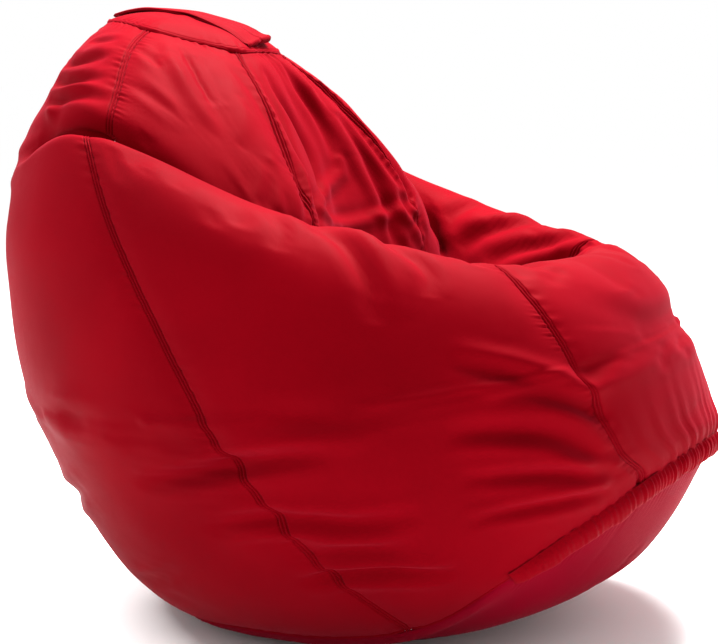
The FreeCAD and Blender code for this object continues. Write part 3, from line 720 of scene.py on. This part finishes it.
def zip_flap():
    """Doubled strip, sewn above the zip, gathered, puffed and hanging over it."""
    path = curve_through([(FLAP_TOP, -.0005), (.0120, -.0040), (.0080, -.0080), (.0020, -.0108),
                        (-.0060, -.0118), (-.0115, -.0106), (-.0145, -.0082),
                        (-.0146, -.0055)], 34)
    angle = np.linspace(-FLAP_HALF, FLAP_HALF, 1500)
    a = np.repeat(angle[:, None], len(path), 1)
    along = np.linspace(0, 1, len(path))[None]
    # both ends close to a tucked point
    end = np.clip((FLAP_HALF - np.abs(angle)) / 7.0, 0, 1)[:, None]
    puff = 0.22 + 0.78 * np.sin(end * np.pi / 2) ** 0.8
    s = np.radians(a) * ZIP_RADIUS
    drift = 0.0014 * np.sin(s * 2 * np.pi / 0.083 + 1) + 0.0009 * np.sin(s * 2 * np.pi / 0.037)
    across = FLAP_TOP + (path[None, :, 0] - FLAP_TOP) * (0.62 + 0.38 * puff) + drift * along
    depth = path[None, :, 1] * puff
    # the hem stands off the base where the zip's end lets it
    depth = depth - 0.0035 * bump(from_front(a) - 40, 13) * along ** 2
    depth = depth - 0.0012 * np.sin(s * 2 * np.pi / 0.052 + 0.7) * along
    # pleats are deepest at the sewn edge and at the front
    front = 0.40 + 0.60 * bump(from_front(a), 58)
    wave = gathers(a) + 0.5 * np.sin(s * 2 * np.pi / 0.0073 + 2.1 * np.sin(s * 41))
    pleat = front * wave * (0.0013 * np.exp(-(along / 0.45) ** 2) + 0.0004)
    pleat = pleat * np.clip(along * 6, 0.25, 1)
    point = section_frame(a, across, depth)
    step = np.gradient(point, axis=1)
    run = np.gradient(point, axis=0)
    normal = unit(np.cross(run, step))
    outward = section_frame(a, across, depth - 0.001) - point
    normal = np.where(((normal * outward).sum(-1) < 0)[..., None], -normal, normal)
    point = point + normal * pleat[..., None]
    hem = np.exp(-((1 - along) / 0.10) ** 2)
    row = np.exp(-((along - 0.80) / 0.022) ** 2) + np.exp(-((along - 0.90) / 0.02) ** 2)
    point = point + normal * (0.0008 * hem - 0.0009 * row)[..., None]
    uv = np.stack([s, along * 0.04 + 0 * a], -1)
    item = panel("zip_flap_cloth", point, normal, FLAP_CLOTH, uv)
    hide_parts("zip_flap")
    return item


flap = zip_flap()


# ---------------------------------------------------------------- zip
def boxes(name, centres, along, across, size):
    """Many small bricks as one object: centres, two directions each and their size."""
    deep = np.cross(along, across)
    corners = []
    for i, j, k in ((-1, -1, -1), (1, -1, -1), (1, 1, -1), (-1, 1, -1),
                    (-1, -1, 1), (1, -1, 1), (1, 1, 1), (-1, 1, 1)):
        corners.append(centres + (i * size[0] * along + j * size[1] * across
                                  + k * size[2] * deep) / 2)
    points = np.stack(corners, 1).reshape(-1, 3)
    pattern = np.array([[0, 3, 2, 1], [4, 5, 6, 7], [0, 1, 5, 4], [1, 2, 6, 5],
                        [2, 3, 7, 6], [3, 0, 4, 7]])
    faces = (np.arange(len(centres))[:, None, None] * 8 + pattern).reshape(-1, 4).tolist()
    return make_object(name, points, faces, smooth=False)


def zip_teeth(name, node, side):
    """One row of moulded coil turns, half a pitch away from the other row."""
    pitch, reach, depth = 0.0029, 0.0024, 0.00275
    count = int(math.radians(2 * ZIP_HALF) * ZIP_RADIUS / pitch)
    angle = np.linspace(-ZIP_HALF, ZIP_HALF, count) + (0.25 if side > 0 else 0.0)
    angle = np.clip(angle, -ZIP_HALF + 0.3, ZIP_HALF - 0.3)
    centre = section_frame(angle, np.full(count, side * reach), np.full(count, depth))
    along = unit(np.gradient(centre, axis=0))
    across = unit(section_frame(angle, np.full(count, side * 0.004), np.full(count, depth))
                  - centre)
    item = boxes(name, centre, along, across, (0.0017, 0.0023, 0.0021))
    bevel = item.modifiers.new("round", "BEVEL")
    bevel.width = 0.0005
    bevel.segments = 2
    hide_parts(node)
    return item


teeth_up = zip_teeth("zip_teeth_upper", "zip_coil_upper", 1)
teeth_down = zip_teeth("zip_teeth_lower", "zip_coil_lower", -1)


# ---------------------------------------------------------------- carry handle
def carry_handle():
    """Strip folded on itself: ends in the cap's back seam, the fold over its front edge."""
    path = curve_through([(-.003, .0002), (.020, .0112), (.049, .0196), (.092, .0240),
                        (.124, .0240), (.165, .0204), (.188, .0148), (.201, .0094),
                        (.2065, .0066), (.2105, .0086), (.2090, .0124), (.198, .0150),
                        (.170, .0222), (.124, .0270), (.092, .0270), (.049, .0226),
                        (.020, .0142), (-.003, .0032)], 150)
    half = HANDLE_WIDTH / 2
    width = spread_out(HANDLE_WIDTH, 20) - half
    run = np.linspace(0, 1, len(path))[:, None]
    x = np.broadcast_to(width, (len(path), len(width)))
    side = half - np.abs(x)
    tangent = np.gradient(path, axis=0)
    tangent /= np.linalg.norm(tangent, axis=1, keepdims=True)
    away = np.stack([tangent[:, 1], -tangent[:, 0]], -1)
    # the lower layer is the first half of the path, where away points down
    wave = 0.0009 * np.sin(x * 95 + run * 22) + 0.0006 * np.sin(x * 41 - run * 55 + 2)
    edge = -0.0016 * np.exp(-(side / 0.0028) ** 2) - 0.0007 * np.exp(
        -((side - 0.0055) / 0.0009) ** 2)
    height = edge + wave * np.sin(np.pi * np.clip(run, 0, 1))
    local = path[:, None, :] + away[:, None, :] * height[..., None]
    local[..., 1] = np.where(run < 0.45, np.maximum(local[..., 1], path[:, None, 1] - 0.0008),
                             local[..., 1])
    # its end is tipped down towards the near side
    local[..., 1] += 0.006 * x / half * np.clip((local[..., 0] - 0.10) / 0.11, 0, 1) ** 2
    point = HANDLE_SEAM + CAP_FORWARD * local[..., :1] + CAP_UP * local[..., 1:]
    point[..., 0] = x * (1 - 0.10 * bump(run - 0.5, 0.16) * (np.abs(x) / half) ** 2)
    normal = unit(np.cross(np.gradient(point, axis=1), np.gradient(point, axis=0)))
    # the lower layer faces down
    if (normal[40, 20] * CAP_UP).sum() > 0:
        normal = -normal
    uv = np.stack([x, run * 0.5 + 0 * x], -1)
    item = panel("carry_handle_cloth", point, normal, HANDLE_CLOTH, uv)
    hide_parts("carry_handle")
    return item


handle = carry_handle()


# ---------------------------------------------------------------- lining and beads
def lining(name, start, node):
    """One panel of the lining, slack under the cover."""
    angle = np.linspace(start, start + 60, 25)
    v = SEAM + (CAP - SEAM) * np.linspace(0, 1, 120)
    a, w = np.meshgrid(angle, v, indexing="ij")
    point, normal = hollow_at(a, w)
    point = point - normal * (0.007 + 0.006 * bump(w - SEAM, 0.9) * near_zip(a, 24)
                              + 0.008 * bump(w - CAP, 0.4))[..., None]
    uv = np.stack([np.radians(a) * 0.4, w * 0.1], -1)
    item = panel(name, point, normal, LINING, uv)
    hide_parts(node)
    return item


linings = [lining("lining_%s_cloth" % label, start, "liner_gore_" + label)
           for label, start in GORES]


def round_panel(name, levels, depth, facing, middle, node):
    """Top or base of the lining, closed over its middle. The base turns up at its edge."""
    angle = np.arange(120) * 3.0
    a, w = np.meshgrid(angle, levels, indexing="ij")
    point, normal = hollow_at(a, w)
    turned = np.clip((w - 0.05) / 0.4, 0, 1)[..., None] * (levels[0] == 0)
    normal = unit(normal * turned + facing * (1 - turned))
    point = point - normal * depth
    hub = middle - facing * depth
    share = np.linspace(0.1, 1, 10)[:-1]
    disc = hub + (point[:, :1] - hub) * share[None, :, None]
    point = np.concatenate([disc, point], 1)
    normal = np.concatenate([np.broadcast_to(facing, disc.shape), normal], 1)
    item = panel(name, point, normal, LINING, point[..., :2], True, hub)
    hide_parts(node)
    return item


lining_base = round_panel("lining_base_cloth", np.linspace(0, SEAM, 24), 0.0045,
                          np.array([0, 0, -1.0]), BASE_MIDDLE, "liner_base_panel")
lining_cap = round_panel("lining_cap_cloth", np.array([CAP - 0.001, CAP]), 0.016, CAP_UP,
                         bag_at(np.arange(12) * 30.0, np.full(12, CAP))[0].mean(0),
                         "liner_top_cap")


def bead_heap():
    """The fill as one body with a beaded surface, inside the lining."""
    around, rows, bottom = 180, 190, 0.0062
    a, w = np.meshgrid(np.arange(around) * 2.0, np.linspace(0, CAP, rows), indexing="ij")
    point, normal = hollow_at(a, w)
    inward = 0.0105 + 0.008 * bump(w - SEAM, 0.9) * near_zip(a, 24)
    point = point - normal * inward[..., None]
    point[..., 2] = np.maximum(point[..., 2], bottom)
    index = np.arange(around * rows).reshape(around, rows)
    faces = grid_faces(index, round_first=True)
    low, high = index.size, index.size + 1
    after = np.roll(index, -1, 0)
    faces += [[low, int(after[i, 0]), int(index[i, 0])] for i in range(around)]
    faces += [[high, int(index[i, -1]), int(after[i, -1])] for i in range(around)]
    ends = [BASE_MIDDLE + [0, 0, bottom], point[:, -1].mean(0)]
    item = make_object("bead_heap", np.concatenate([point.reshape(-1, 3), ends]), faces)
    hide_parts("bead_fill")
    return item


beads = bead_heap()


# ---------------------------------------------------------------- stitching
def stitches(name, rows):
    """Thread along sewn rows. Each row is a line of points and the cloth's normals."""
    centre, along, out = [], [], []
    pitch, size = 0.0036, (0.0026, 0.0006, 0.0006)
    for line, normal in rows:
        length = arc_lengths(line, 0)
        at = np.arange(pitch, length[-1] - pitch, pitch)
        pick = np.stack([np.interp(at, length, line[:, i]) for i in range(3)], -1)
        up = unit(np.stack([np.interp(at, length, normal[:, i]) for i in range(3)], -1))
        centre.append(pick)
        along.append(unit(np.gradient(pick, axis=0)))
        out.append(up)
    centre, along, out = map(np.concatenate, (centre, along, out))
    across = unit(np.cross(out, along))
    item = boxes(name, centre + out * 0.0001, along, across, size)
    bevel = item.modifiers.new("round", "BEVEL")
    bevel.width = 0.00022
    bevel.segments = 1
    return item


def side_rows():
    """Two stitched rows along each of the six side seams."""
    rows = []
    v = np.linspace(SEAM + 0.15, CAP - 0.03, 700)
    for start in range(30, 390, 60):
        centre, _ = bag_at(np.full_like(v, start), v)
        for side in (-1, 1):
            beside, _ = bag_at(np.full_like(v, start + 2.0 * side), v)
            degree = 2.0 / np.linalg.norm(beside - centre, axis=-1)
            line, normal = bag_at(start + side * STITCH_AT * degree, v)
            along = arc_lengths(centre, 0)
            height = sewn_height(np.full_like(v, STITCH_AT), along, start % 360 / 60.0)
            rows.append((line + normal * height[:, None], normal))
    return rows


thread = stitches("side_seam_thread", side_rows())


# ---------------------------------------------------------------- materials
def node_tree(name, base, rough):
    material = bpy.data.materials.new(name)
    material.use_nodes = True
    tree = material.node_tree
    shader = tree.nodes["Principled BSDF"]
    shader.inputs["Base Color"].default_value = (*base, 1)
    shader.inputs["Roughness"].default_value = rough
    return material, tree, shader


def link(tree, a, a_out, b, b_in):
    tree.links.new(a.outputs[a_out], b.inputs[b_in])


def add_node(tree, kind, **values):
    """New shader node; an underscore in a keyword stands for a space in a socket's name."""
    item = tree.nodes.new("ShaderNode" + kind)
    for name, value in values.items():
        item.inputs[name.replace("_", " ")].default_value = value
    return item


def cloth_material(name, base, rough=0.5, sheen=0.09, weave=0.35,
                   sheen_tint=(1.0, 0.09, 0.16)):
    """Plain weave with a soft coated sheen, uneven dye and fine crumple."""
    material, tree, shader = node_tree(name, base, rough)
    shader.inputs["Sheen Weight"].default_value = sheen
    shader.inputs["Sheen Roughness"].default_value = 0.5
    shader.inputs["Sheen Tint"].default_value = (*sheen_tint, 1)
    shader.inputs["Specular IOR Level"].default_value = 0.004
    where = add_node(tree, "TexCoord")
    tint = add_node(tree, "TexNoise", Scale=5.0, Detail=5.0)
    ramp = add_node(tree, "ValToRGB")
    for stop, place, shade in zip(ramp.color_ramp.elements, (0.3, 0.72), (0.86, 1.10)):
        stop.position = place
        stop.color = (*(c * shade for c in base), 1)
    link(tree, where, "Object", tint, "Vector")
    link(tree, tint, "Fac", ramp, "Fac")
    link(tree, ramp, "Color", shader, "Base Color")
    # threads: two crossed waves in the cloth's own directions
    cross = add_node(tree, "Math")
    cross.operation = "MULTIPLY"
    for socket, direction in enumerate(("X", "Y")):
        wave = add_node(tree, "TexWave", Scale=330.0, Distortion=0.6, Detail_Scale=2.0)
        wave.bands_direction = direction
        link(tree, where, "UV", wave, "Vector")
        link(tree, wave, "Fac", cross, socket)
    crumple = add_node(tree, "TexNoise", Scale=38.0, Detail=6.0)
    link(tree, where, "Object", crumple, "Vector")
    rough_map = add_node(tree, "MapRange", To_Min=rough - 0.07, To_Max=rough + 0.07)
    link(tree, crumple, "Fac", rough_map, "Value")
    link(tree, rough_map, "Result", shader, "Roughness")
    soft = add_node(tree, "Bump", Strength=0.25, Distance=0.0012)
    link(tree, crumple, "Fac", soft, "Height")
    fine = add_node(tree, "Bump", Strength=weave, Distance=0.0002)
    link(tree, cross, 0, fine, "Height")
    link(tree, soft, "Normal", fine, "Normal")
    link(tree, fine, "Normal", shader, "Normal")
    return material


def plain_material(name, base, rough, metallic, noise_scale, bump_size):
    """Smooth hard surface or thread with a fine grain."""
    material, tree, shader = node_tree(name, base, rough)
    shader.inputs["Metallic"].default_value = metallic
    where = add_node(tree, "TexCoord")
    grain = add_node(tree, "TexNoise", Scale=noise_scale, Detail=4.0)
    link(tree, where, "Object", grain, "Vector")
    spread = add_node(tree, "MapRange", To_Min=rough - 0.08, To_Max=rough + 0.08)
    link(tree, grain, "Fac", spread, "Value")
    link(tree, spread, "Result", shader, "Roughness")
    relief = add_node(tree, "Bump", Strength=0.3, Distance=bump_size)
    link(tree, grain, "Fac", relief, "Height")
    link(tree, relief, "Normal", shader, "Normal")
    return material


RED = (0.124, 0.0001, 0.0022)
BASE_RED = (0.128, 0.0001, 0.0055)
ZIP_RED = (0.20, 0.001, 0.006)
red_cloth = cloth_material("red_cloth", RED)
base_red = cloth_material("red_base_cloth", BASE_RED, 0.55, 0.06)
white_cloth = cloth_material("white_lining", (0.78, 0.78, 0.76), 0.75, 0.1, 0.5, (1, 1, 1))
tape_cloth = cloth_material("tape_cloth", ZIP_RED, 0.7, 0.1, 0.8)
nylon = plain_material("coil_nylon", (0.18, 0.001, 0.006), 0.38, 0.0, 900, 0.0001)
enamel = plain_material("slider_enamel", ZIP_RED, 0.32, 0.0, 500, 0.0001)
steel = plain_material("stop_steel", (0.60, 0.60, 0.60), 0.34, 1.0, 700, 0.0001)
thread_red = plain_material("thread", (0.11, 0.0002, 0.002), 0.55, 0.0, 1500, 0.0001)
thread_red.node_tree.nodes["Principled BSDF"].inputs["Specular IOR Level"].default_value = 0.05
foam = plain_material("foam_beads", (0.92, 0.92, 0.90), 0.8, 0.0, 260, 0.002)


def dress(item, material, body=None):
    item.data.materials.clear()
    item.data.materials.append(material)
    if body:
        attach(item, body)


for item in cover + [cap, flap]:
    dress(item, red_cloth, "bag")
dress(base, base_red, "bag")
dress(handle, red_cloth)
for item in linings + [lining_base, lining_cap]:
    dress(item, white_cloth, "bag")
dress(beads, foam, "bag")
for item in (teeth_up, teeth_down):
    dress(item, nylon, "bag")
dress(thread, thread_red, "bag")
for node, material in (("zip_tape_upper", tape_cloth), ("zip_tape_lower", tape_cloth),
                       ("zip_stop_near", steel), ("zip_stop_far", steel),
                       ("zip_slider_body", enamel), ("zip_pull_tab", enamel)):
    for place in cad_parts[node].material_slots:
        place.material = material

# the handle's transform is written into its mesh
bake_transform(handle)


# ---------------------------------------------------------------- floor, light, camera
FLOOR_REACH, FLOOR_LEVEL = 300, -0.0006
floor_mesh = bpy.data.meshes.new("floor")
floor_mesh.from_pydata([(x * FLOOR_REACH, y * FLOOR_REACH, FLOOR_LEVEL)
                        for x, y in ((-1, -1), (1, -1), (1, 1), (-1, 1))], [], [(0, 1, 2, 3)])
floor = bpy.data.objects.new("floor", floor_mesh)
scene.collection.objects.link(floor)
floor_material, _, floor_shader = node_tree("floor", (1.0, 1.0, 1.0), 0.9)
floor_shader.inputs["Specular IOR Level"].default_value = 0.0
floor.data.materials.append(floor_material)

world = bpy.data.worlds.new("studio")
scene.world = world
world.use_nodes = True
world.node_tree.nodes["Background"].inputs["Color"].default_value = (1, 1, 1, 1)
world.node_tree.nodes["Background"].inputs["Strength"].default_value = 1.0


def aim(item, place, target):
    item.location = place
    item.rotation_euler = (Vector(target) - Vector(place)).to_track_quat("-Z", "Y").to_euler()
    scene.collection.objects.link(item)


def area_light(name, place, target, size, power):
    data = bpy.data.lights.new(name, "AREA")
    data.shape = "SQUARE"
    data.size = size
    data.energy = power
    aim(bpy.data.objects.new(name, data), place, target)


area_light("top", (0.9, -0.1, 3.0), (0, 0, 0.4), 1.5, 480)
area_light("back", (-0.9, 1.6, 2.6), (0, 0.2, 0.5), 1.2, 70)

scene.view_settings.view_transform = "Standard"
CAMERA_AZIMUTH, CAMERA_REACH, CAMERA_HEIGHT = math.radians(-66), 2.6, 0.72
camera_data = bpy.data.cameras.new("camera")
camera_data.sensor_width = 36
camera_data.lens = 96.067
camera = bpy.data.objects.new("camera", camera_data)
aim(camera, (math.sin(CAMERA_AZIMUTH) * CAMERA_REACH, -math.cos(CAMERA_AZIMUTH) * CAMERA_REACH,
             CAMERA_HEIGHT), (0, 0, 0.40))
scene.camera = camera
